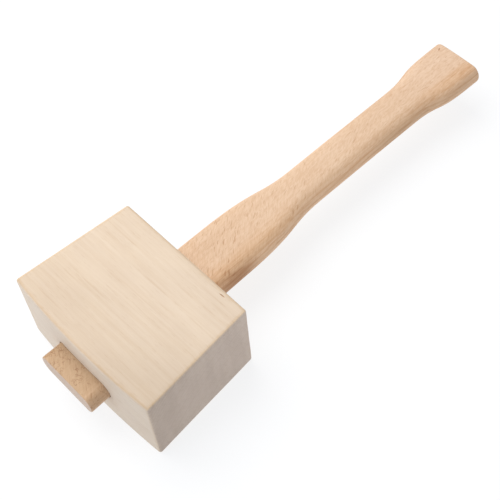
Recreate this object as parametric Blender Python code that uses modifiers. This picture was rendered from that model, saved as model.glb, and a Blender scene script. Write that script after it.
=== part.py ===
"""Wooden joiner's mallet: a tapered block head on a through-tenoned handle with a flared butt.

Units are metres, +Z up. The mallet lies on one cheek. X runs along the head, from one striking
face to the other. Y runs along the handle, from the head's top to the butt. Z runs through the
head's thickness. The origin is the centre of the lower cheek.
"""

import math

import bmesh
import bpy

# Head block: a trapezoid seen from its cheek, longer at its top than at its foot.
HEAD_TOP_LENGTH = 0.120
HEAD_FOOT_LENGTH = 0.106
HEAD_HEIGHT = 0.0815
HEAD_THICKNESS = 0.0605
HEAD_TOP_RISE = 0.003
HEAD_EDGE_ROUND = 0.0015

# Handle: one sawn board whose long sides are nearly fully rounded. Widths are half widths, along X.
HANDLE_THICKNESS = 0.016
HANDLE_EDGE_ROUND = 0.0075
HANDLE_ARRIS = 0.0008
TENON_PROUD = 0.0164
TENON_END_HALF_WIDTH = 0.0231
SHOULDER_HALF_WIDTH = 0.0216
GRIP_HALF_WIDTH = 0.01485
BUTT_HALF_WIDTH = 0.01955

# Distances along the handle, from the head's foot towards the butt.
SHOULDER_AT = 0.024
GRIP_START_AT = 0.0985
GRIP_END_AT = 0.188
FLARE_END_AT = 0.233
HANDLE_FREE_LENGTH = 0.2465

# How far each bend of the handle's outline keeps its straight direction.
SHOULDER_EASE = 0.0514
GRIP_START_EASE = 0.0265
GRIP_END_EASE = 0.025
FLARE_EASE = 0.0275

CLEARANCE = 0.0003
OVERRUN = 0.010
CURVE_STEPS = 10
STRAIGHT_STEPS = 1
SMOOTH_ANGLE = math.radians(30)

HEAD_TOP_Y = -HEAD_HEIGHT / 2
HEAD_FOOT_Y = HEAD_HEIGHT / 2
TENON_END_Y = HEAD_TOP_Y - TENON_PROUD
SHOULDER_Y = HEAD_FOOT_Y + SHOULDER_AT
BUTT_END_Y = HEAD_FOOT_Y + HANDLE_FREE_LENGTH
MID_Z = HEAD_THICKNESS / 2
TENON_TAPER = (TENON_END_HALF_WIDTH - SHOULDER_HALF_WIDTH) / (SHOULDER_Y - TENON_END_Y)


def clear_scene():
    for obj in list(bpy.data.objects):
        bpy.data.objects.remove(obj)


def new_collection(name):
    collection = bpy.data.collections.new(name)
    bpy.context.scene.collection.children.link(collection)
    return collection


def wood_material(name, colour, roughness):
    material = bpy.data.materials.new(name)
    material.use_nodes = True
    shader = material.node_tree.nodes["Principled BSDF"]
    shader.inputs["Base Color"].default_value = (*colour, 1.0)
    shader.inputs["Roughness"].default_value = roughness
    shader.inputs["Metallic"].default_value = 0.0
    material.diffuse_color = (*colour, 1.0)
    return material


def pale_hardwood():
    return wood_material("pale_hardwood", (0.82, 0.70, 0.54), 0.55)


def steamed_beech():
    return wood_material("steamed_beech", (0.80, 0.58, 0.40), 0.5)


def tenon_half_width(y):
    """Half width of the handle's straight wedge, which widens evenly towards the tenon's end."""
    return SHOULDER_HALF_WIDTH + (SHOULDER_Y - y) * TENON_TAPER


def knot(x, y, back=0.0, ahead=0.0):
    """A point of an outline that runs along +Y, with the lengths of its two tangents."""
    return {"at": (x, y), "before": (x, y - back), "after": (x, y + ahead)}


def mirrored(knots):
    """The same side of an outline seen in the YZ plane's mirror, run the other way."""

    def flip(point):
        return (-point[0], point[1])

    return [
        {"at": flip(k["at"]), "before": flip(k["after"]), "after": flip(k["before"])}
        for k in reversed(knots)
    ]


def board_from_outline(name, knots, steps, thickness, edge_round, collection):
    """A flat board cut to a closed outline, centred on Z = 0, its long edges rounded over."""
    curve = bpy.data.curves.new(name, "CURVE")
    curve.dimensions = "2D"
    curve.fill_mode = "BOTH"
    curve.resolution_u = steps
    curve.extrude = thickness / 2 - edge_round
    curve.bevel_depth = edge_round
    curve.bevel_resolution = 3
    curve.offset = -edge_round
    spline = curve.splines.new("BEZIER")
    spline.use_cyclic_u = True
    spline.bezier_points.add(len(knots) - 1)
    for point, place in zip(spline.bezier_points, knots):
        point.handle_left_type = "FREE"
        point.handle_right_type = "FREE"
        point.co = (*place["at"], 0.0)
        point.handle_left = (*place["before"], 0.0)
        point.handle_right = (*place["after"], 0.0)
    guide = bpy.data.objects.new(name + "_curve", curve)
    collection.objects.link(guide)
    return mesh_from_curve(name, guide, collection)


def mesh_from_curve(name, guide, collection):
    """Replaces a curve object by a mesh of the same shape."""
    graph = bpy.context.evaluated_depsgraph_get()
    mesh = bpy.data.meshes.new_from_object(guide.evaluated_get(graph))
    mesh.name = name
    obj = bpy.data.objects.new(name, mesh)
    obj.matrix_world = guide.matrix_world
    collection.objects.link(obj)
    bpy.data.objects.remove(guide)
    work = bmesh.new()
    work.from_mesh(mesh)
    bmesh.ops.remove_doubles(work, verts=work.verts, dist=0.00001)
    bmesh.ops.recalc_face_normals(work, faces=work.faces)
    work.to_mesh(mesh)
    work.free()
    return obj


def join_flat_faces(obj):
    """Makes each flat side of a mesh a single face."""
    work = bmesh.new()
    work.from_mesh(obj.data)
    bmesh.ops.dissolve_limit(
        work, angle_limit=math.radians(0.05), verts=work.verts, edges=work.edges
    )
    work.to_mesh(obj.data)
    work.free()


def saw_square(obj, y, direction):
    """Saws a board square across at y and drops what lies beyond, towards direction along Y."""
    work = bmesh.new()
    work.from_mesh(obj.data)
    cut = bmesh.ops.bisect_plane(
        work,
        geom=list(work.verts) + list(work.edges) + list(work.faces),
        dist=0.00001,
        plane_co=(0.0, y, 0.0),
        plane_no=(0.0, direction, 0.0),
        clear_outer=True,
    )
    rim = [piece for piece in cut["geom_cut"] if isinstance(piece, bmesh.types.BMEdge)]
    bmesh.ops.contextual_create(work, geom=rim)
    bmesh.ops.recalc_face_normals(work, faces=work.faces)
    work.to_mesh(obj.data)
    work.free()


def as_cutter(obj):
    obj.hide_render = True
    obj.display_type = "WIRE"
    return obj


def add_cut(obj, cutter):
    modifier = obj.modifiers.new(cutter.name, "BOOLEAN")
    modifier.operation = "DIFFERENCE"
    modifier.solver = "EXACT"
    modifier.object = cutter


def add_bevel(obj, width, segments, angle):
    modifier = obj.modifiers.new("eased_edges", "BEVEL")
    modifier.width = width
    modifier.segments = segments
    modifier.limit_method = "ANGLE"
    modifier.angle_limit = angle


def finish_part(obj, material):
    obj.data.materials.append(material)
    obj.data.shade_smooth()
    obj.data.set_sharp_from_angle(angle=SMOOTH_ANGLE)


def head_outline():
    """The cheek's outline, run anticlockwise. Its top is an arc drawn as one Bezier stretch."""
    top_x = HEAD_TOP_LENGTH / 2
    foot_x = HEAD_FOOT_LENGTH / 2
    right_side = [knot(top_x, HEAD_TOP_Y), knot(foot_x, HEAD_FOOT_Y)]
    left_side = mirrored(right_side)
    third = HEAD_TOP_LENGTH / 3
    pull = HEAD_TOP_RISE * 4 / 3
    right_side[0]["before"] = (top_x - third, HEAD_TOP_Y - pull)
    left_side[-1]["after"] = (third - top_x, HEAD_TOP_Y - pull)
    return right_side + left_side


def handle_outline():
    """The board's outline, run past both ends so that they can be sawn square."""
    start_y = TENON_END_Y - OVERRUN
    end_y = BUTT_END_Y + OVERRUN
    right_side = [
        knot(tenon_half_width(start_y), start_y),
        knot(SHOULDER_HALF_WIDTH, SHOULDER_Y, ahead=SHOULDER_EASE),
        knot(GRIP_HALF_WIDTH, HEAD_FOOT_Y + GRIP_START_AT, back=GRIP_START_EASE),
        knot(GRIP_HALF_WIDTH, HEAD_FOOT_Y + GRIP_END_AT, ahead=GRIP_END_EASE),
        knot(BUTT_HALF_WIDTH, HEAD_FOOT_Y + FLARE_END_AT, back=FLARE_EASE),
        knot(BUTT_HALF_WIDTH, end_y),
    ]
    return right_side + mirrored(right_side)


def mortise_outline():
    """The tenon's own wedge, one clearance wider all round and longer than the head."""
    start_y = HEAD_TOP_Y - OVERRUN
    end_y = HEAD_FOOT_Y + OVERRUN
    right_side = [
        knot(tenon_half_width(start_y) + CLEARANCE, start_y),
        knot(tenon_half_width(end_y) + CLEARANCE, end_y),
    ]
    return right_side + mirrored(right_side)


def build_head(parts, cutters):
    head = board_from_outline(
        "head", head_outline(), CURVE_STEPS, HEAD_THICKNESS, 0.0, parts
    )
    head.location.z = MID_Z
    mortise = board_from_outline(
        "mortise",
        mortise_outline(),
        STRAIGHT_STEPS,
        HANDLE_THICKNESS + 2 * CLEARANCE,
        HANDLE_EDGE_ROUND + CLEARANCE,
        cutters,
    )
    mortise.location.z = MID_Z
    join_flat_faces(head)
    join_flat_faces(mortise)
    add_bevel(head, HEAD_EDGE_ROUND, segments=3, angle=SMOOTH_ANGLE)
    add_cut(head, as_cutter(mortise))
    finish_part(head, pale_hardwood())
    return head


def build_handle(parts):
    handle = board_from_outline(
        "handle",
        handle_outline(),
        CURVE_STEPS,
        HANDLE_THICKNESS,
        HANDLE_EDGE_ROUND,
        parts,
    )
    handle.location.z = MID_Z
    saw_square(handle, TENON_END_Y, -1)
    saw_square(handle, BUTT_END_Y, 1)
    join_flat_faces(handle)
    add_bevel(handle, HANDLE_ARRIS, segments=2, angle=math.radians(60))
    finish_part(handle, steamed_beech())
    return handle


def main():
    clear_scene()
    parts = new_collection("wooden_mallet")
    cutters = new_collection("cutters")
    build_head(parts, cutters)
    build_handle(parts)


main()
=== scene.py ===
"""The looks of a wooden mallet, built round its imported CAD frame.

The frame's axes are kept: X along the head, Y along the handle, Z up. Lengths are in metres, and the
materials work in millimetres, which suit the size of grain.
"""

import math

import bmesh
import bpy
from mathutils import Matrix, Vector, noise


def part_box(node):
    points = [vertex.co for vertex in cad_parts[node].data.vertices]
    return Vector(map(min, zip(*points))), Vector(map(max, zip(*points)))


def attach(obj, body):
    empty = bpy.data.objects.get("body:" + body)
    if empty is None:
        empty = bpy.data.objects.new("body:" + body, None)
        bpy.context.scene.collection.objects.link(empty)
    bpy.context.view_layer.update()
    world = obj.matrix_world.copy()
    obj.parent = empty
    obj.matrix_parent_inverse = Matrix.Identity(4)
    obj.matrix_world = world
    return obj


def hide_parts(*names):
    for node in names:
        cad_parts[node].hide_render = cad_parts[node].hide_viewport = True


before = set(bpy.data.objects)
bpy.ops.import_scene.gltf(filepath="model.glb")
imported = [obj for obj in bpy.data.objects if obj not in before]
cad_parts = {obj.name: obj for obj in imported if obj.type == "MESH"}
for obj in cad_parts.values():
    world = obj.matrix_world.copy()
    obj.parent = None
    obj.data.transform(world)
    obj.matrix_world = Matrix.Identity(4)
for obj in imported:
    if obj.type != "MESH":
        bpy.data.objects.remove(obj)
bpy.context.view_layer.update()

# ---------------------------------------------------------------- sizes, from the frame

HEAD_LOW, HEAD_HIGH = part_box("head")
HANDLE_LOW, HANDLE_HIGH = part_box("handle")

HEAD_THICKNESS = HEAD_HIGH.z - HEAD_LOW.z
MID_Z = (HEAD_HIGH.z + HEAD_LOW.z) / 2
HEAD_FOOT_Y = HEAD_HIGH.y
HEAD_TOP_RISE = 0.003
HEAD_TOP_Y = HEAD_LOW.y + HEAD_TOP_RISE
HEAD_TOP_HALF = 0.060
HEAD_FOOT_HALF = 0.053
HEAD_EDGE_ROUND = 0.0019

HANDLE_HALF_THICKNESS = (HANDLE_HIGH.z - HANDLE_LOW.z) / 2
TENON_SIDE_DEPTH = 0.0052
GRIP_SIDE_DEPTH = 0.0098
BUTT_SIDE_DEPTH = 0.0060
HANDLE_ARRIS = 0.0007
HANDLE_CROWN = 0.0005
HANDLE_END_RIM = 0.0012
TENON_END_Y = HANDLE_LOW.y
BUTT_END_Y = HANDLE_HIGH.y
TENON_END_HALF = 0.0231
SHOULDER_HALF = 0.0216
GRIP_HALF = 0.01485
BUTT_HALF = 0.01955

SHOULDER_Y = HEAD_FOOT_Y + 0.024
GRIP_START_Y = HEAD_FOOT_Y + 0.0985
GRIP_END_Y = HEAD_FOOT_Y + 0.188
FLARE_END_Y = HEAD_FOOT_Y + 0.233

# How far each bend of the handle's outline keeps its straight direction.
SHOULDER_EASE = 0.0514
GRIP_START_EASE = 0.0265
GRIP_END_EASE = 0.025
FLARE_EASE = 0.0275

# The board is slightly bowed: it stands furthest towards -X at one place and comes back either way.
BOW_Y = 0.092
BOW_DEPTH = 0.0008
BOW_HALF_SPAN = 0.1265

# A small chip in the upper cheek, close to the foot edge.
NICK_CENTRE = (0.0355, 0.0374, HEAD_HIGH.z + 0.0001)
NICK_HALF_SIZE = (0.0025, 0.00045, 0.0004)
NICK_TURN = math.radians(4)

# A small dark fleck in the handle's upper face, close to the butt: along the handle, then across.
SPECK_CENTRE = (0.2824, -0.0118)
SPECK_HALF_SIZE = (0.0014, 0.0006)
SPECK_TURN = math.radians(-25)

MORTISE_GAP = 0.0003
MOUTH_CHAMFER = 0.0004
CUTTER_OVERRUN = 0.010

# How finely the surfaces are divided, and the angle from which an edge of the head looks sharp.
RING_SPACING = 0.0020
HEAD_CELL = 0.0030
SHARP_ANGLE = math.radians(28)
BEND_HALVINGS = 40
ARRIS_STEPS = 4
EDGE_STEPS = 6
ROUND_STEPS = 20
FLAT_STEPS = 9

# Hand sanding: the length and depth of its waves, and a seed that sets where they fall.
HEAD_WAVE_LENGTH = 0.035
HEAD_WAVE_DEPTH = 0.00010
HEAD_SEED = 11.0
HANDLE_WAVE_LENGTH = 0.030
HANDLE_WAVE_DEPTH = 0.00012
HANDLE_SEED = 3.0

# The head is drawn in towards its middle by its wave, in full at this distance from the middle.
HEAD_WAVE_REACH = 0.05

# The head's edge round varies by this share, and over this length.
EDGE_ROUND_CHANGE = 0.16
EDGE_ROUND_LENGTH = 0.018
EDGE_ROUND_SEED = Vector((7.3, 1.9, 4.4))

MM = 1000.0

# ---------------------------------------------------------------- the woods, in millimetres

# The middle of the tree lies outside each piece: its place across the grain, and the rings' width.
HEAD_PITH = (95.0, -120.0)
HEAD_RING_MM = 2.9
HANDLE_PITH = (6.0, -45.0)
HANDLE_RING_MM = 2.2

# The fine rays on end grain: their width, their length outwards and their depth along the grain.
RAY_MM = 0.7
RAY_LENGTH_MM = 11.0
RAY_DEPTH_MM = 20.0

# Linear colours, as red, green, blue and alpha.
HEAD_DARKER = (0.686, 0.547, 0.412, 1.0)
HEAD_LIGHTER = (0.719, 0.578, 0.434, 1.0)
HANDLE_DARKER = (0.765, 0.537, 0.367, 1.0)
HANDLE_LIGHTER = (0.800, 0.575, 0.402, 1.0)
HANDLE_END = (0.60, 0.465, 0.37, 1.0)

# ---------------------------------------------------------------- the studio

FLOOR_RADIUS = 6.0
FLOOR_DROP = 0.0002
FLOOR_GREY = 0.21
FLOOR_GLOW = 0.79
SKY_COLOUR = (0.87, 0.95, 1.08, 1.0)
SKY_STRENGTH = 0.58
LIGHT_AIM = (0.0, 0.10, 0.03)
LIGHT_SIZE = 0.9

CAMERA_AZIMUTH = math.radians(51.29)
CAMERA_ELEVATION = math.radians(57.37)
CAMERA_ROLL = math.radians(-5.86)
CAMERA_TARGET = Vector((-0.00562, 0.09426, 0.0))
CAMERA_DISTANCE = 0.72687
CAMERA_LENS = 79.97


# ---------------------------------------------------------------- shapes


def bezier_bend(y, start, start_pull, start_half, end, end_pull, end_half):
    """Half width at y on a bend whose two ends run straight along Y before they turn."""
    low, high = 0.0, 1.0
    for _ in range(BEND_HALVINGS):
        t = (low + high) / 2
        u = 1 - t
        along = (
            u**3 * start
            + 3 * u * u * t * (start + start_pull)
            + 3 * u * t * t * (end - end_pull)
            + t**3 * end
        )
        if along < y:
            low = t
        else:
            high = t
    return start_half + (end_half - start_half) * (3 * t * t - 2 * t**3)


def handle_half_width(y):
    if y <= SHOULDER_Y:
        share = (SHOULDER_Y - y) / (SHOULDER_Y - TENON_END_Y)
        return SHOULDER_HALF + (TENON_END_HALF - SHOULDER_HALF) * share
    if y < GRIP_START_Y:
        return bezier_bend(
            y, SHOULDER_Y, SHOULDER_EASE, SHOULDER_HALF, GRIP_START_Y, GRIP_START_EASE, GRIP_HALF
        )
    if y <= GRIP_END_Y:
        return GRIP_HALF
    if y < FLARE_END_Y:
        return bezier_bend(
            y, GRIP_END_Y, GRIP_END_EASE, GRIP_HALF, FLARE_END_Y, FLARE_EASE, BUTT_HALF
        )
    return BUTT_HALF


def handle_centre(y):
    """X of the handle's middle, on a shallow bow."""
    return BOW_DEPTH * (((y - BOW_Y) / BOW_HALF_SPAN) ** 2 - 1)


def head_top_at(x):
    """Y of the head's arched top, which stands highest over the mortise."""
    return HEAD_TOP_Y - HEAD_TOP_RISE * (1 - (x / HEAD_TOP_HALF) ** 2)


def side_depth(y):
    """How far the full round of the handle's long side reaches in from its edge."""
    rise = min(max((y - TENON_END_Y) / (SHOULDER_Y - TENON_END_Y), 0.0), 1.0)
    fall = min(max((y - GRIP_END_Y) / (BUTT_END_Y - GRIP_END_Y), 0.0), 1.0)
    depth = TENON_SIDE_DEPTH + (GRIP_SIDE_DEPTH - TENON_SIDE_DEPTH) * rise * rise * (3 - 2 * rise)
    return depth + (BUTT_SIDE_DEPTH - GRIP_SIDE_DEPTH) * fall * fall * (3 - 2 * fall)


def oval_section(half_width, half_thickness, depth):
    """(x, z) points round two flats joined by half ellipses, anticlockwise from the lower right."""
    flat_x = half_width - depth
    points = []
    for side in (1, -1):
        for step in range(ROUND_STEPS + 1):
            angle = math.pi * (step / ROUND_STEPS - 0.5)
            points.append(
                (side * (flat_x + depth * math.cos(angle)), side * half_thickness * math.sin(angle))
            )
        for step in range(1, FLAT_STEPS):
            points.append((side * flat_x * (1 - 2 * step / FLAT_STEPS), side * half_thickness))
    return points


def skin_rings(work, rings):
    """Quads between closed rings of the same number of points, and a face on each end ring."""
    rows = [[work.verts.new(point) for point in ring] for ring in rings]
    for row, following in zip(rows, rows[1:]):
        for index in range(len(row)):
            after = (index + 1) % len(row)
            work.faces.new((row[index], row[after], following[after], following[index]))
    work.faces.new(list(reversed(rows[0])))
    work.faces.new(rows[-1])
    bmesh.ops.recalc_face_normals(work, faces=work.faces)


def mesh_object(name, work):
    mesh = bpy.data.meshes.new(name)
    work.to_mesh(mesh)
    work.free()
    obj = bpy.data.objects.new(name, mesh)
    bpy.context.scene.collection.objects.link(obj)
    return obj


def sanding_wave(point, wavelength, depth, seed):
    """A gentle unevenness, as hand sanding leaves, always inwards."""
    sample = Vector(point) / wavelength + Vector((seed, seed * 0.37, seed * 1.71))
    return depth * (0.5 + 0.5 * noise.noise(sample))


def handle_ring(y, inset):
    """The handle's section at y, drawn in all round by an inset."""
    half_width = handle_half_width(y) - inset
    half_thickness = HANDLE_HALF_THICKNESS - inset
    ring = []
    for x, z in oval_section(half_width, half_thickness, side_depth(y) - inset):
        crown = 1 - HANDLE_CROWN / half_thickness * (x / half_width) ** 2
        point = Vector((x + handle_centre(y), y, MID_Z + z * crown))
        wave = sanding_wave(point, HANDLE_WAVE_LENGTH, HANDLE_WAVE_DEPTH, HANDLE_SEED)
        shrink = 1 - wave / half_width
        ring.append(Vector((point.x * shrink, y, MID_Z + (point.z - MID_Z) * shrink)))
    return ring


def handle_stations():
    """(y, inset) of each ring, with the eased arris and a flat rim at both ends."""
    rim_inset = HANDLE_ARRIS + HANDLE_END_RIM
    eased = []
    for step in range(ARRIS_STEPS + 1):
        angle = step / ARRIS_STEPS * math.pi / 2
        out = HANDLE_ARRIS * (1 - math.cos(angle))
        eased.append((out, HANDLE_ARRIS * (1 - math.sin(angle))))
    start = [(TENON_END_Y, rim_inset)] + [(TENON_END_Y + out, inset) for out, inset in eased]
    end = [(BUTT_END_Y - out, inset) for out, inset in reversed(eased)] + [(BUTT_END_Y, rim_inset)]
    low = TENON_END_Y + HANDLE_ARRIS
    high = BUTT_END_Y - HANDLE_ARRIS
    count = round((high - low) / RING_SPACING)
    middle = [(low + (high - low) * step / count, 0.0) for step in range(1, count)]
    return start + middle + end


def build_handle():
    work = bmesh.new()
    skin_rings(work, [handle_ring(y, inset) for y, inset in handle_stations()])
    handle = mesh_object("handle_board", work)
    handle.data.shade_smooth()
    return handle


def edge_stations(half, edge, cell):
    """Places from -half to half, close together in each rounded edge and a cell apart between."""
    stations = []
    for step in range(EDGE_STEPS + 1):
        stations.append(-half + edge * (1 - math.cos(step / EDGE_STEPS * math.pi / 2)))
    flat = half - edge
    count = max(2, round(2 * flat / cell))
    stations += [-flat + 2 * flat * step / count for step in range(1, count)]
    stations += [-place for place in reversed(stations[: EDGE_STEPS + 1])]
    return stations


def rounded_block_point(point, half, radius):
    """A point of a box's surface moved onto the same box with its edges rounded."""
    inner = Vector([max(-h + radius, min(h - radius, c)) for c, h in zip(point, half)])
    offset = point - inner
    if offset.length < 1e-9:
        return point
    return inner + offset.normalized() * radius


def head_point(point, half):
    """From the straight block to the mallet's head: eased edges, tapered ends, arched top."""
    where = Vector(point) / EDGE_ROUND_LENGTH + EDGE_ROUND_SEED
    radius = HEAD_EDGE_ROUND * (1 + EDGE_ROUND_CHANGE * noise.noise(where))
    block = rounded_block_point(point, half, radius)
    down = (block.y + half.y) / (2 * half.y)
    taper = (HEAD_TOP_HALF + (HEAD_FOOT_HALF - HEAD_TOP_HALF) * down) / HEAD_TOP_HALF
    x = block.x * taper
    rise = HEAD_TOP_RISE * (1 - (x / HEAD_TOP_HALF) ** 2) * (1 - down)
    middle_y = (HEAD_TOP_Y + HEAD_FOOT_Y) / 2
    placed = Vector((x, middle_y + block.y - rise, MID_Z + block.z))
    wave = sanding_wave(placed, HEAD_WAVE_LENGTH, HEAD_WAVE_DEPTH, HEAD_SEED)
    centre = Vector((0.0, middle_y, MID_Z))
    return centre + (placed - centre) * (1 - wave / HEAD_WAVE_REACH)


def head_block():
    """The head as a closed grid of quads, before the mortise is cut."""
    half = Vector((HEAD_TOP_HALF, (HEAD_FOOT_Y - HEAD_TOP_Y) / 2, HEAD_THICKNESS / 2))
    stations = [edge_stations(h, HEAD_EDGE_ROUND, HEAD_CELL) for h in half]
    last = [len(places) - 1 for places in stations]
    work = bmesh.new()
    made = {}

    def vertex(index):
        if index not in made:
            place = Vector([stations[axis][index[axis]] for axis in range(3)])
            made[index] = work.verts.new(head_point(place, half))
        return made[index]

    for axis in range(3):
        across, along = (axis + 1) % 3, (axis + 2) % 3
        for side in (0, last[axis]):
            for i in range(last[across]):
                for j in range(last[along]):
                    corners = []
                    for di, dj in ((0, 0), (1, 0), (1, 1), (0, 1)):
                        index = [0, 0, 0]
                        index[axis], index[across], index[along] = side, i + di, j + dj
                        corners.append(vertex(tuple(index)))
                    work.faces.new(corners)
    bmesh.ops.recalc_face_normals(work, faces=work.faces)
    return mesh_object("head_block", work)


def mortise_cutter():
    """The tenon's wedge with its running gap, flared at both mouths for a small chamfer."""

    def ring(place, widening):
        y = place(0.0)
        half_width = handle_half_width(y) + MORTISE_GAP + widening
        half_thickness = HANDLE_HALF_THICKNESS + MORTISE_GAP + widening
        section = oval_section(half_width, half_thickness, side_depth(y) + MORTISE_GAP + widening)
        centre = handle_centre(y)
        return [Vector((centre + x, place(x), MID_Z + z)) for x, z in section]

    def below_top(depth):
        return lambda x: head_top_at(x) + depth

    def above_foot(depth):
        return lambda x: HEAD_FOOT_Y - depth

    flare = MOUTH_CHAMFER
    rings = [
        ring(below_top(-CUTTER_OVERRUN), 2 * flare),
        ring(below_top(-flare), 2 * flare),
        ring(below_top(flare), 0.0),
        ring(above_foot(flare), 0.0),
        ring(above_foot(-flare), 2 * flare),
        ring(above_foot(-CUTTER_OVERRUN), 2 * flare),
    ]
    work = bmesh.new()
    skin_rings(work, rings)
    return mesh_object("mortise_cutter", work)


def nick_cutter():
    """A sliver of the shape of the small chip by the upper cheek's foot edge."""
    work = bmesh.new()
    bmesh.ops.create_icosphere(work, subdivisions=3, radius=1.0)
    bmesh.ops.scale(work, vec=NICK_HALF_SIZE, verts=work.verts)
    turn = Matrix.Rotation(NICK_TURN, 3, "Z")
    bmesh.ops.rotate(work, cent=(0, 0, 0), matrix=turn, verts=work.verts)
    bmesh.ops.translate(work, vec=NICK_CENTRE, verts=work.verts)
    return mesh_object("nick_cutter", work)


def cut_away(obj, cutter):
    modifier = obj.modifiers.new(cutter.name, "BOOLEAN")
    modifier.operation = "DIFFERENCE"
    modifier.solver = "EXACT"
    modifier.object = cutter
    graph = bpy.context.evaluated_depsgraph_get()
    cut_mesh = bpy.data.meshes.new_from_object(obj.evaluated_get(graph))
    obj.modifiers.clear()
    obj.data = cut_mesh
    bpy.data.objects.remove(cutter)


def build_head():
    head = head_block()
    cut_away(head, mortise_cutter())
    cut_away(head, nick_cutter())
    head.data.shade_smooth()
    head.data.set_sharp_from_angle(angle=SHARP_ANGLE)
    return head


# ---------------------------------------------------------------- material tools


class Nodes:
    """Adds nodes to one material. An input may be a socket to link or a value to set."""

    def __init__(self, name):
        self.material = bpy.data.materials.new(name)
        self.material.use_nodes = True
        self.tree = self.material.node_tree
        self.shader = self.tree.nodes["Principled BSDF"]

    def set_input(self, socket, value):
        if isinstance(value, bpy.types.NodeSocket):
            self.tree.links.new(value, socket)
        else:
            socket.default_value = value

    def add(self, kind, inputs=(), **settings):
        node = self.tree.nodes.new("ShaderNode" + kind)
        for name, value in settings.items():
            setattr(node, name, value)
        for name, value in dict(inputs).items():
            self.set_input(node.inputs[name], value)
        return node

    def calc(self, operation, *values):
        node = self.add("Math", operation=operation)
        for socket, value in zip(node.inputs, values):
            self.set_input(socket, value)
        return node.outputs[0]

    def product(self, first, *others):
        result = first
        for value in others:
            result = self.calc("MULTIPLY", result, value)
        return result

    def scale_add(self, value, factor, addend):
        return self.calc("MULTIPLY_ADD", value, factor, addend)

    def place(self):
        """The point in the piece's own space, in millimetres, as (x, y, z) sockets."""
        source = self.add("TexCoord").outputs["Object"]
        split = self.add("SeparateXYZ", {"Vector": source})
        return [self.calc("MULTIPLY", split.outputs[axis], MM) for axis in "XYZ"]

    def facing(self, axis):
        """How far the surface faces along one of the piece's own axes, from -1 to 1."""
        normal = self.add("TexCoord").outputs["Normal"]
        return self.add("SeparateXYZ", {"Vector": normal}).outputs[axis]

    def vector(self, x, y, z):
        return self.add("CombineXYZ", {"X": x, "Y": y, "Z": z}).outputs[0]

    def noise(self, vector, detail=3.0, roughness=0.5):
        inputs = {"Vector": vector, "Scale": 1.0, "Detail": detail, "Roughness": roughness}
        return self.add("TexNoise", inputs).outputs[0]

    def stretched(self, places, sizes):
        """The point with each of its three places divided by a size."""
        return self.vector(*[self.calc("DIVIDE", place, size) for place, size in zip(places, sizes)])

    def step(self, value, low, high, start=0.0, end=1.0):
        """Start below low, end above high, and a smooth turn between."""
        inputs = {"Value": value, "From Min": low, "From Max": high, "To Min": start, "To Max": end}
        node = self.add("MapRange", inputs, interpolation_type="SMOOTHSTEP")
        return node.outputs[0]

    def mix(self, factor, a, b, blend="MIX"):
        node = self.add("Mix", data_type="RGBA", blend_type=blend)
        for socket, value in ((node.inputs[0], factor), (node.inputs[6], a), (node.inputs[7], b)):
            self.set_input(socket, value)
        return node.outputs[2]

    def tinted(self, colour, amount, red, green, blue):
        """The colour multiplied towards a tint by an amount from 0 to 1. A tint may be above 1."""
        return self.mix(amount, colour, self.mix(1.0, colour, rgba(red, green, blue), "MULTIPLY"))

    def finish(self, colour, roughness, height, depth_mm):
        bump = self.add("Bump", {"Height": height, "Distance": depth_mm / MM, "Strength": 1.0})
        self.set_input(self.shader.inputs["Base Color"], colour)
        self.set_input(self.shader.inputs["Roughness"], roughness)
        self.set_input(self.shader.inputs["Normal"], bump.outputs[0])
        return self.material


def rgba(red, green, blue):
    return (red, green, blue, 1.0)


def face_share(nodes, axis):
    """1 on the faces that look along an axis, either way, and 0 on the others."""
    return nodes.step(nodes.calc("ABSOLUTE", nodes.facing(axis)), 0.45, 0.9)


def arris_highlight_share(nodes):
    """1 on the rounded edge between a cheek and a striking face, where a highlight is painted."""
    both = nodes.product(nodes.facing("X"), nodes.facing("Z"))
    return nodes.step(nodes.calc("ABSOLUTE", both), 0.06, 0.40)


def growth_rings(nodes, a, b, pith, ring_mm, waver):
    """(radius, dark latewood share) round a pith that lies outside the piece."""
    da = nodes.calc("SUBTRACT", a, pith[0])
    db = nodes.calc("SUBTRACT", b, pith[1])
    squares = nodes.scale_add(da, da, nodes.product(db, db))
    radius = nodes.calc("ADD", nodes.calc("SQRT", squares), waver)
    phase = nodes.calc("DIVIDE", radius, ring_mm)
    part = nodes.calc("FRACT", phase)
    rise = nodes.calc("POWER", part, 3.5)
    fall = nodes.step(part, 0.93, 1.0, 1.0, 0.0)
    ring_number = nodes.calc("FLOOR", phase)
    strength = nodes.add("TexWhiteNoise", {"W": ring_number}, noise_dimensions="1D").outputs[0]
    return radius, nodes.product(rise, fall, nodes.scale_add(strength, 0.8, 0.3))


def streaks(nodes, along, a, b, length_mm, width_mm, detail=3.0, roughness=0.55):
    """Noise drawn out along the grain."""
    vector = nodes.stretched((along, a, b), (length_mm, width_mm, width_mm))
    return nodes.noise(vector, detail, roughness)


def dashes(nodes, along, a, b, length_mm, width_mm, depth_mm, fill, soft):
    """Small lens-shaped marks, one in some of the cells of a stretched cell pattern."""
    vector = nodes.stretched((a, along, b), (width_mm, length_mm, depth_mm))
    cells = nodes.add("TexVoronoi", {"Vector": vector, "Scale": 1.0, "Randomness": 1.0})
    chance = nodes.add("SeparateColor", {"Color": cells.outputs["Color"]})
    size = nodes.scale_add(chance.outputs[1], 0.22, 0.16)
    near = nodes.calc("SUBTRACT", size, cells.outputs["Distance"])
    present = nodes.step(chance.outputs[0], 1 - fill, 1 - fill + 0.1)
    return nodes.product(nodes.step(near, 0.0, soft), present)


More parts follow.
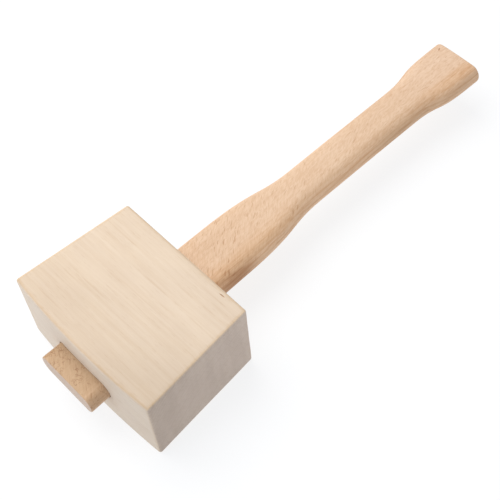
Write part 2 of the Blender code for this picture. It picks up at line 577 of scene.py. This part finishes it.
def end_figure(nodes, radius, late, along, a, b, pith):
    """Dark marks of cut end grain: the rings, fine rays from the pith and open pores."""
    off_a = nodes.calc("SUBTRACT", a, pith[0])
    off_b = nodes.calc("SUBTRACT", b, pith[1])
    turn = nodes.calc("ARCTAN2", off_b, off_a)
    rays_per_radian = math.hypot(*pith) / RAY_MM
    fan = nodes.vector(
        nodes.product(turn, rays_per_radian),
        nodes.calc("DIVIDE", radius, RAY_LENGTH_MM),
        nodes.calc("DIVIDE", along, RAY_DEPTH_MM),
    )
    rays = nodes.step(nodes.noise(fan, 3.0, 0.6), 0.46, 0.70)
    pores = dashes(nodes, along, a, b, 6.0, 0.75, 0.75, 0.7, 0.14)
    figure = nodes.calc("MAXIMUM", nodes.product(rays, 0.55), nodes.product(pores, 0.7))
    return nodes.calc("MAXIMUM", figure, nodes.product(late, 0.9))


def spot(nodes, along, across, centre, half_size, turn):
    """1 inside a small leaning oval and 0 round it. The oval's measures are in metres."""
    forward = nodes.calc("SUBTRACT", along, centre[0] * MM)
    aside = nodes.calc("SUBTRACT", across, centre[1] * MM)
    off_axis = nodes.scale_add(forward, -math.tan(turn), aside)
    a = nodes.calc("DIVIDE", forward, half_size[0] * MM)
    b = nodes.calc("DIVIDE", off_axis, half_size[1] * MM)
    reach = nodes.scale_add(a, a, nodes.product(b, b))
    return nodes.step(reach, 0.35, 1.0, 1.0, 0.0)


# ---------------------------------------------------------------- the head's wood


def head_edge_wear(nodes, x, y, z):
    """1 along the head's edges and 0 a few millimetres in, broken up by noise."""
    off_middle = nodes.calc("ABSOLUTE", nodes.calc("SUBTRACT", z, MID_Z * MM))
    from_cheek = nodes.calc("SUBTRACT", HEAD_THICKNESS / 2 * MM, off_middle)
    lean = (HEAD_TOP_HALF - HEAD_FOOT_HALF) / (HEAD_FOOT_Y - HEAD_TOP_Y)
    half_length = nodes.scale_add(y, -lean, (HEAD_TOP_HALF + lean * HEAD_TOP_Y) * MM)
    from_strike = nodes.calc("SUBTRACT", half_length, nodes.calc("ABSOLUTE", x))
    bow = HEAD_TOP_RISE / HEAD_TOP_HALF**2 / MM
    top = nodes.scale_add(nodes.product(x, x), bow, (HEAD_TOP_Y - HEAD_TOP_RISE) * MM)
    from_top = nodes.calc("SUBTRACT", y, top)
    from_foot = nodes.calc("SUBTRACT", HEAD_FOOT_Y * MM, y)
    from_ends = nodes.calc("MINIMUM", from_top, from_foot)
    nearest = nodes.calc("MINIMUM", from_cheek, from_strike)
    farther = nodes.calc("MAXIMUM", from_cheek, from_strike)
    second = nodes.calc("MAXIMUM", nearest, nodes.calc("MINIMUM", farther, from_ends))
    rub = nodes.noise(nodes.stretched((x, y, z), (5.0, 5.0, 5.0)))
    reach = nodes.scale_add(rub, 4.5, 0.6)
    return nodes.step(nodes.calc("DIVIDE", second, reach), 0.25, 1.0, 1.0, 0.0)


def head_grain(nodes, x, y, z, slope, late, fibre, mark):
    """The pale wood with its bands, rings, fibres, hairlines and pores."""
    cloud = streaks(nodes, x, y, z, 40.0, 20.0)
    band = streaks(nodes, x, slope, z, 80.0, 2.4, 4.0, 0.6)
    pore = dashes(nodes, x, slope, z, 7.0, 0.8, 3.0, 0.7, 0.12)
    along = nodes.calc("SUBTRACT", 1.0, face_share(nodes, "X"))
    colour = nodes.mix(nodes.step(cloud, 0.3, 0.7), HEAD_DARKER, HEAD_LIGHTER)
    colour = nodes.tinted(colour, nodes.step(band, 0.35, 0.72, 0.0, 0.7), 0.945, 0.92, 0.88)
    colour = nodes.tinted(colour, nodes.product(late, 0.5), 0.94, 0.90, 0.85)
    colour = nodes.tinted(colour, nodes.step(fibre, 0.38, 0.72, 0.0, 0.5), 0.945, 0.92, 0.89)
    colour = nodes.tinted(colour, nodes.product(mark, 0.45), 0.88, 0.82, 0.75)
    return nodes.tinted(colour, nodes.product(pore, along, 0.35), 0.87, 0.81, 0.74)


def head_faces(nodes, colour, x, y, z, figure):
    """The tones of the head's faces: the two cheeks, the arched top and the striking faces, partly painted
    light and shade.
    """
    end = face_share(nodes, "X")
    cheek = face_share(nodes, "Z")
    top_face = face_share(nodes, "Y")
    colour = nodes.tinted(colour, cheek, 0.985, 0.975, 0.955)
    # Painted shade: the cheeks darker towards the arched top.
    upper = nodes.product(nodes.step(y, -44.0, 16.0, 1.0, 0.0), cheek)
    colour = nodes.tinted(colour, upper, 0.935, 0.92, 0.90)
    # Painted cool light: the arched top lighter and bluer than the rest.
    colour = nodes.tinted(colour, top_face, 1.01, 1.045, 1.10)
    bare = nodes.product(nodes.scale_add(end, -0.85, 1.0), nodes.scale_add(top_face, -0.5, 1.0))
    wear = nodes.product(head_edge_wear(nodes, x, y, z), bare)
    colour = nodes.tinted(colour, wear, 0.95, 0.89, 0.80)
    # The end grain's darker tone is the wood's own; its blue cast is painted cool shade.
    colour = nodes.tinted(colour, end, 0.89, 0.90, 0.985)
    shade = nodes.product(nodes.step(y, -52.0, 44.0, 1.0, 0.0), end)
    colour = nodes.tinted(colour, shade, 0.83, 0.82, 0.81)
    tide = nodes.noise(nodes.stretched((y, z, x), (7.0, 60.0, 20.0)), 2.0)
    colour = nodes.tinted(colour, nodes.product(nodes.step(tide, 0.38, 0.64), end), 0.94, 0.935, 0.93)
    colour = nodes.tinted(colour, nodes.product(figure, end), 0.89, 0.865, 0.84)
    # Painted highlight: the rounded edges between cheeks and striking faces made lighter.
    return nodes.tinted(colour, arris_highlight_share(nodes), 1.14, 1.14, 1.12)


def head_corner_shade_and_nick(nodes, colour, x, y, z):
    """Painted shade that fades away from one top corner, and the chip by the foot edge."""
    along = nodes.calc("SUBTRACT", 1.0, face_share(nodes, "X"))
    aside = nodes.calc("SUBTRACT", x, HEAD_TOP_HALF * MM)
    ahead = nodes.calc("SUBTRACT", y, HEAD_TOP_Y * MM)
    corner = nodes.vector(aside, ahead, 0.0)
    reach = nodes.add("VectorMath", {0: corner}, operation="LENGTH").outputs["Value"]
    # Painted shade, darkest at one top corner of the head.
    corner_shade = nodes.step(reach, 8.0, 62.0, 0.8, 0.0)
    colour = nodes.tinted(colour, nodes.product(corner_shade, along), 0.90, 0.895, 0.885)
    near_cheek = nodes.step(z, HEAD_HIGH.z * MM - 3, HEAD_HIGH.z * MM - 1)
    nick = nodes.product(spot(nodes, x, y, NICK_CENTRE, NICK_HALF_SIZE, NICK_TURN), near_cheek)
    return nodes.tinted(colour, nick, 0.68, 0.53, 0.41)


def head_wood():
    """Pale, close-grained hardwood with its grain along X and end grain on the striking faces."""
    nodes = Nodes("pale_hardwood")
    x, y, z = nodes.place()
    slope = nodes.scale_add(x, -0.014, y)
    sway = streaks(nodes, x, y, z, 110.0, 34.0, 2.0)
    shiver = streaks(nodes, x, y, z, 30.0, 5.0, 2.0)
    waver = nodes.scale_add(sway, 6.0, nodes.product(shiver, 0.9))
    radius, late = growth_rings(nodes, slope, z, HEAD_PITH, HEAD_RING_MM, waver)
    figure = end_figure(nodes, radius, late, x, y, z, HEAD_PITH)

    fibre = streaks(nodes, x, slope, z, 16.0, 0.45, 4.0, 0.6)
    patchy = nodes.step(streaks(nodes, x, y, z, 22.0, 6.0, 2.0), 0.40, 0.62, 0.25, 1.0)
    line = dashes(nodes, x, slope, z, 55.0, 2.1, 9.0, 0.55, 0.06)
    hair = dashes(nodes, x, slope, z, 20.0, 1.2, 5.0, 0.6, 0.08)
    along = nodes.calc("SUBTRACT", 1.0, face_share(nodes, "X"))
    mark = nodes.product(nodes.calc("MAXIMUM", line, nodes.product(hair, 0.7)), along, patchy)

    colour = head_grain(nodes, x, y, z, slope, late, fibre, mark)
    colour = head_faces(nodes, colour, x, y, z, figure)
    colour = head_corner_shade_and_nick(nodes, colour, x, y, z)
    rough = nodes.scale_add(fibre, 0.16, 0.50)
    height = nodes.calc("SUBTRACT", nodes.product(fibre, 0.8), nodes.product(mark, 0.6))
    return nodes.finish(colour, rough, height, 0.04)


# ---------------------------------------------------------------- the handle's wood


def handle_flecks(nodes, x, y, z):
    """Dark ray flecks that lean across the wide faces: the bold ones, the fine ones, the faint weave."""
    lean = nodes.scale_add(nodes.product(y, y), -0.0019, nodes.scale_add(y, 1.056, x))
    stray = nodes.noise(nodes.stretched((x, y, z), (9.0, 14.0, 9.0)), 2.0)
    lean = nodes.scale_add(stray, 5.0, lean)
    crowding = nodes.noise(nodes.stretched((x, y, z), (7.0, 16.0, 9.0)), 2.0)
    crowd = nodes.step(crowding, 0.36, 0.60, 0.25, 1.0)
    first = dashes(nodes, y, lean, z, 6.6, 1.55, 9.0, 0.90, 0.10)
    moved = [nodes.calc("ADD", place, by) for place, by in ((y, 3.1), (lean, 0.6), (z, 40.0))]
    second = dashes(nodes, *moved, 5.0, 1.2, 7.0, 0.60, 0.10)
    fine = dashes(nodes, y, nodes.scale_add(y, 0.12, x), z, 3.6, 0.75, 6.0, 0.6, 0.12)
    weave = nodes.noise(nodes.stretched((lean, y, z), (0.9, 3.6, 3.0)), 2.0)
    fading = nodes.step(y, 70.0, 140.0, 1.0, 0.55)
    bold = nodes.product(nodes.calc("MAXIMUM", first, nodes.product(second, 0.8)), crowd, fading)
    return bold, fine, weave


def handle_grain(nodes, x, y, z, sway, late, tenon):
    """The warm wood with its bands and rings, the ribbons on its sides, painted shade on its long sides and
    painted shade in dark streaks by the head.
    """
    side = face_share(nodes, "X")
    cloud = streaks(nodes, y, x, z, 45.0, 12.0, 2.0)
    band = streaks(nodes, y, x, z, 50.0, 2.0)
    ribbon = streaks(nodes, y, x, z, 26.0, 1.3)
    colour = nodes.mix(nodes.step(cloud, 0.3, 0.7), HANDLE_DARKER, HANDLE_LIGHTER)
    colour = nodes.tinted(colour, nodes.step(y, 200.0, 275.0, 1.0, 0.0), 0.945, 0.93, 0.895)
    colour = nodes.tinted(colour, nodes.step(band, 0.35, 0.75, 0.0, 0.5), 0.93, 0.88, 0.81)
    heart = nodes.step(nodes.scale_add(sway, 5.0, x), 6.0, 16.5, 0.0, 0.75)
    # Warm heartwood, and painted shade: the long sides warmer and darker.
    warmth_and_side_shade = nodes.calc("MAXIMUM", heart, nodes.product(side, 0.9))
    warmth_and_side_shade = nodes.product(warmth_and_side_shade, nodes.scale_add(tenon, -0.8, 1.0))
    colour = nodes.tinted(colour, warmth_and_side_shade, 0.94, 0.86, 0.74)
    colour = nodes.tinted(colour, nodes.product(late, nodes.scale_add(side, 0.5, 0.3)), 0.83, 0.72, 0.60)
    streak = nodes.product(nodes.step(ribbon, 0.46, 0.66), nodes.product(warmth_and_side_shade, 0.8))
    colour = nodes.tinted(colour, streak, 0.84, 0.71, 0.57)
    near_head = nodes.product(nodes.step(y, 62.0, 86.0, 1.0, 0.0), nodes.step(y, 38.0, 60.0))
    # Painted shade on the +X side next to the head, broken into streaks.
    head_shade_streaks = nodes.product(near_head, nodes.step(nodes.scale_add(ribbon, 12.0, x), 20.0, 26.0))
    return nodes.tinted(colour, head_shade_streaks, 0.64, 0.50, 0.385)


def handle_tenon(nodes, colour, x, y, z, tenon):
    """The browner tenon, with fine curling lines in patches."""
    smoked = nodes.product(tenon, nodes.step(x, 12.0, 21.0, 1.0, 0.6))
    colour = nodes.tinted(colour, smoked, 0.73, 0.695, 0.60)
    curl = nodes.noise(nodes.stretched((x, y, z), (3.4, 2.6, 3.4)))
    from_line = nodes.calc("ABSOLUTE", nodes.calc("SUBTRACT", curl, 0.5))
    ridge = nodes.step(from_line, 0.0, 0.036, 1.0, 0.0)
    patch = nodes.step(nodes.noise(nodes.stretched((x, y, z), (5.5, 4.5, 6.0)), 2.0), 0.46, 0.58)
    return nodes.tinted(colour, nodes.product(ridge, patch, tenon), 0.66, 0.51, 0.39)


def handle_wood():
    """Steamed beech sawn a little across its grain: short ray flecks that lean on the wide faces."""
    nodes = Nodes("steamed_beech")
    x, y, z = nodes.place()
    sway = streaks(nodes, y, x, z, 80.0, 26.0, 2.0)
    shiver = streaks(nodes, y, x, z, 22.0, 5.0, 2.0)
    waver = nodes.scale_add(sway, 6.0, nodes.product(shiver, 1.2))
    radius, late = growth_rings(nodes, x, z, HANDLE_PITH, HANDLE_RING_MM, waver)
    figure = end_figure(nodes, radius, late, y, x, z, HANDLE_PITH)
    fibre = streaks(nodes, y, x, z, 14.0, 0.45, 4.0, 0.6)
    end = face_share(nodes, "Y")
    side = face_share(nodes, "X")
    wide = nodes.scale_add(nodes.calc("SUBTRACT", 1.0, side), 0.75, 0.25)
    bold, fine, weave = handle_flecks(nodes, x, y, z)
    bold = nodes.product(bold, wide)
    fine = nodes.product(fine, wide)
    tenon = nodes.step(y, -44.0, -34.0, 1.0, 0.0)

    colour = handle_grain(nodes, x, y, z, sway, late, tenon)
    colour = nodes.tinted(colour, nodes.step(fibre, 0.38, 0.72, 0.0, 0.5), 0.93, 0.88, 0.82)
    woven = nodes.product(nodes.step(weave, 0.34, 0.68), wide)
    colour = nodes.tinted(colour, nodes.product(woven, 0.85), 0.91, 0.86, 0.80)
    colour = nodes.tinted(colour, nodes.product(bold, 0.85), 0.74, 0.62, 0.50)
    colour = nodes.tinted(colour, nodes.product(fine, 0.5), 0.82, 0.73, 0.63)
    # Painted light: the long sides lighter and bluer over the middle of the handle.
    side_light_band = nodes.product(nodes.step(y, 35.0, 52.0), nodes.step(y, 180.0, 206.0, 1.0, 0.0))
    colour = nodes.tinted(colour, nodes.product(side, side_light_band), 1.18, 1.21, 1.27)
    colour = handle_tenon(nodes, colour, x, y, z, tenon)
    colour = nodes.mix(nodes.product(end, 0.75), colour, HANDLE_END)
    colour = nodes.tinted(colour, nodes.product(figure, end), 0.84, 0.78, 0.72)
    above = nodes.step(z, MID_Z * MM, MID_Z * MM + 4)
    speck = nodes.product(spot(nodes, y, x, SPECK_CENTRE, SPECK_HALF_SIZE, SPECK_TURN), above)
    colour = nodes.tinted(colour, speck, 0.60, 0.45, 0.34)

    rough = nodes.scale_add(fibre, 0.14, 0.46)
    marks = nodes.calc("ADD", nodes.product(bold, 0.8), nodes.product(fine, 0.4))
    height = nodes.calc("SUBTRACT", nodes.product(fibre, 0.7), marks)
    return nodes.finish(colour, rough, height, 0.05)


# ---------------------------------------------------------------- floor, light and camera


def build_floor():
    """A large pale disc that the mallet lies on, with a little light of its own to soften shadows."""
    work = bmesh.new()
    bmesh.ops.create_circle(work, cap_ends=True, segments=96, radius=FLOOR_RADIUS)
    floor = mesh_object("floor", work)
    floor.location.z = -FLOOR_DROP
    nodes = Nodes("pale_floor")
    nodes.shader.inputs["Base Color"].default_value = rgba(FLOOR_GREY, FLOOR_GREY, FLOOR_GREY)
    nodes.shader.inputs["Roughness"].default_value = 0.9
    nodes.shader.inputs["Specular IOR Level"].default_value = 0.1
    nodes.shader.inputs["Emission Color"].default_value = rgba(1.0, 1.0, 1.0)
    nodes.shader.inputs["Emission Strength"].default_value = FLOOR_GLOW
    floor.data.materials.append(nodes.material)


def area_light(name, place, power, colour):
    """A soft round lamp that faces the middle of the mallet."""
    data = bpy.data.lights.new(name, "AREA")
    data.shape = "DISK"
    data.size = LIGHT_SIZE
    data.energy = power
    data.color = colour
    light = bpy.data.objects.new(name, data)
    bpy.context.scene.collection.objects.link(light)
    light.location = place
    light.rotation_mode = "QUATERNION"
    light.rotation_quaternion = (Vector(LIGHT_AIM) - Vector(place)).to_track_quat("-Z", "Y")


def build_light():
    world = bpy.data.worlds.new("studio")
    world.use_nodes = True
    sky = world.node_tree.nodes["Background"]
    sky.inputs["Color"].default_value = SKY_COLOUR
    sky.inputs["Strength"].default_value = SKY_STRENGTH
    bpy.context.scene.world = world
    area_light("key", (-0.42, 0.04, 0.86), 7.2, (1.0, 0.96, 0.905))
    area_light("front", (-0.20, -1.10, 0.60), 3.6, (0.87, 0.96, 1.12))


def build_camera():
    """A camera placed by its turn round a target on the floor, its angle above it and a slight roll."""
    back = Vector(
        (
            math.sin(CAMERA_AZIMUTH) * math.cos(CAMERA_ELEVATION),
            -math.cos(CAMERA_AZIMUTH) * math.cos(CAMERA_ELEVATION),
            math.sin(CAMERA_ELEVATION),
        )
    )
    level = Vector((math.cos(CAMERA_AZIMUTH), math.sin(CAMERA_AZIMUTH), 0.0))
    over = back.cross(level)
    right = level * math.cos(CAMERA_ROLL) + over * math.sin(CAMERA_ROLL)
    up = over * math.cos(CAMERA_ROLL) - level * math.sin(CAMERA_ROLL)
    data = bpy.data.cameras.new("camera")
    data.lens = CAMERA_LENS
    data.clip_start = 0.05
    data.clip_end = 50.0
    camera = bpy.data.objects.new("camera", data)
    bpy.context.scene.collection.objects.link(camera)
    turn = Matrix((right, up, back)).transposed().to_4x4()
    camera.matrix_world = Matrix.Translation(CAMERA_TARGET + back * CAMERA_DISTANCE) @ turn
    bpy.context.scene.camera = camera


# ---------------------------------------------------------------- the scene

head = build_head()
head.data.materials.clear()
head.data.materials.append(head_wood())
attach(head, "head")
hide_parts("head")

handle = build_handle()
handle.data.materials.append(handle_wood())
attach(handle, "handle")
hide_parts("handle")

build_floor()
build_light()
build_camera()
bpy.context.scene.view_settings.view_transform = "Standard"
